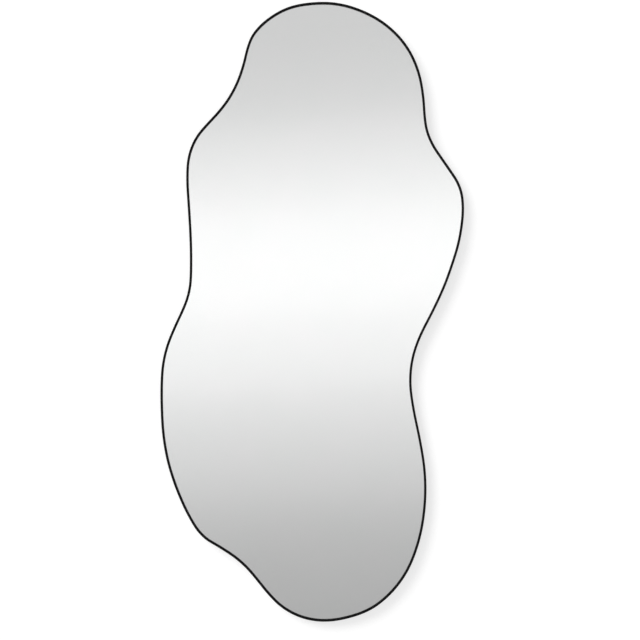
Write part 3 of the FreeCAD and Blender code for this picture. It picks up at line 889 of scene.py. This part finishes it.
# %% [markdown]
# ## Holes for countersunk screws
#
# A countersunk head sits in a cone of its own size. The screws are there already, so they can serve as their
# own drill: a copy of each is wrapped in its convex hull, which fills the cross in its head, made a hair
# larger, and taken away from the piece with a boolean.

# %% Screw holes
HOLE_EASE = 1.03


def cut_for_screws(piece, node):
    """Cut a hole for each screw of a node, a hair wider than the screw."""
    whole = merged_copy(node, "drill")
    with editing(whole):
        bpy.ops.mesh.select_all(action="SELECT")
        bpy.ops.mesh.separate(type="LOOSE")
    drills = list(bpy.context.selected_objects)
    for drill in drills:
        middle = sum((point.co for point in drill.data.vertices), Vector()) / len(drill.data.vertices)
        with editing(drill):
            bpy.ops.mesh.select_all(action="SELECT")
            bpy.ops.mesh.convex_hull()
            bpy.ops.mesh.select_all(action="SELECT")
            bpy.ops.transform.resize(value=(HOLE_EASE,) * 3, center_override=middle)
    for drill in drills:
        drill.select_set(True)
    bpy.ops.object.join()
    drill = bpy.context.object
    select_only(piece)
    modifier = piece.modifiers.new("screw holes", "BOOLEAN")
    modifier.object = drill
    modifier.operation = "DIFFERENCE"
    bpy.ops.object.modifier_apply(modifier=modifier.name)
    bpy.data.objects.remove(drill)
    print(f"{piece.name}: {len(drills)} screw holes")


cut_for_screws(black_frame, "frame_joint_screws")
finished(black_frame, "frame_rail", POWDER_COAT)
dressed("frame_joint_plate", "joint_plate", BRUSHED_PLATE)
dressed("frame_joint_screws", "joint_screws", BLACK_STEEL)

# %% [markdown]
# ## The glass and what lies behind it
#
# A flat curve can be filled, thickened and bevelled by itself, which gives a plate with its edges taken off:
# all the glass needs. The silver touches the glass. Two faces in exactly the same place confuse the renderer,
# so the front of the silver is moved back by a fiftieth of a millimetre.

# %% Glass, silver, film, sealant and tapes
GLASS_ARRIS = 0.0004
SILVER_GAP = 0.00002
TAPES = 4


def plate(node, name, arris):
    """A plate along the smooth outline, as large as a solid, with its edges taken off."""
    low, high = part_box(node)
    curve = copy_of_outline()
    curve.data.fill_mode = "BOTH"
    curve.data.extrude = (high.y - low.y) / 2 - arris
    curve.data.bevel_depth = arris
    curve.data.bevel_resolution = 0
    curve.data.offset = beyond_silver(node) - arris
    curve.location.y = (low.y + high.y) / 2
    return stood_up(curve, name)


glass = plate("mirror_glass", "glass_pane", GLASS_ARRIS)
finished(glass, "mirror_glass", CLEAR_GLASS)
silver = plate("silver_coating", "silver_layer", 0.0)
silver_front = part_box("silver_coating")[0].y
select_points(silver, lambda point: abs(point.co.y - silver_front) < MERGE_DISTANCE)
with editing(silver):
    bpy.ops.transform.translate(value=(0, SILVER_GAP, 0))
finished(silver, "silver_coating", SILVER_COAT)
dressed("safety_film", "film_layer", WOVEN_FILM)
dressed("glazing_seal", "sealant_bead", SEALANT)
for number in range(1, TAPES + 1):
    dressed(f"foam_tape_{number}", f"tape_{number}", FOAM)

# %% [markdown]
# ## The board and its screws
#
# The fibreboard lies on the frame's ledge, and sixteen countersunk screws go through it. Their crosses point
# every way, as they do when a hand has driven them.

# %% Board and screws
BOARD_ARRIS = 0.0006

board = plate("backing_board", "back_board", BOARD_ARRIS)
cut_for_screws(board, "board_screws")
finished(board, "backing_board", FIBREBOARD)
dressed("board_screws", "countersunk_screws", BLACK_STEEL)
bpy.data.objects.remove(outline)
bpy.data.objects.remove(profile)

# %% [markdown]
# ## Hangers and bumpers
#
# Two steel straps are folded round D-shaped rings, which swing, so each ring rides on its own body. Rubber
# bumpers keep the frame off the wall, and a screw sits deep in each.

# %% Hangers and bumpers
for side in ("left", "right"):
    dressed(f"{side}_hanger_strap", f"{side}_strap", ZINC_PLATE)
    dressed(f"{side}_hanger_ring", f"{side}_ring_wire", ZINC_PLATE)
dressed("hanger_screws", "strap_screws", ZINC_PLATE)
dressed("bumper_screws", "rubber_foot_screws", ZINC_PLATE)
for corner in ("upper_left", "upper_right", "lower_left", "lower_right"):
    dressed(f"{corner}_bumper", f"{corner}_rubber_foot", MATT_RUBBER)

# %% [markdown]
# ## How colours are shown
#
# The picture shows each colour as it is written, with no film curve over it. The
# dressed mirror has to be as large as the workshop model.

# %% Colours as written
bpy.context.scene.view_settings.view_transform = "Standard"
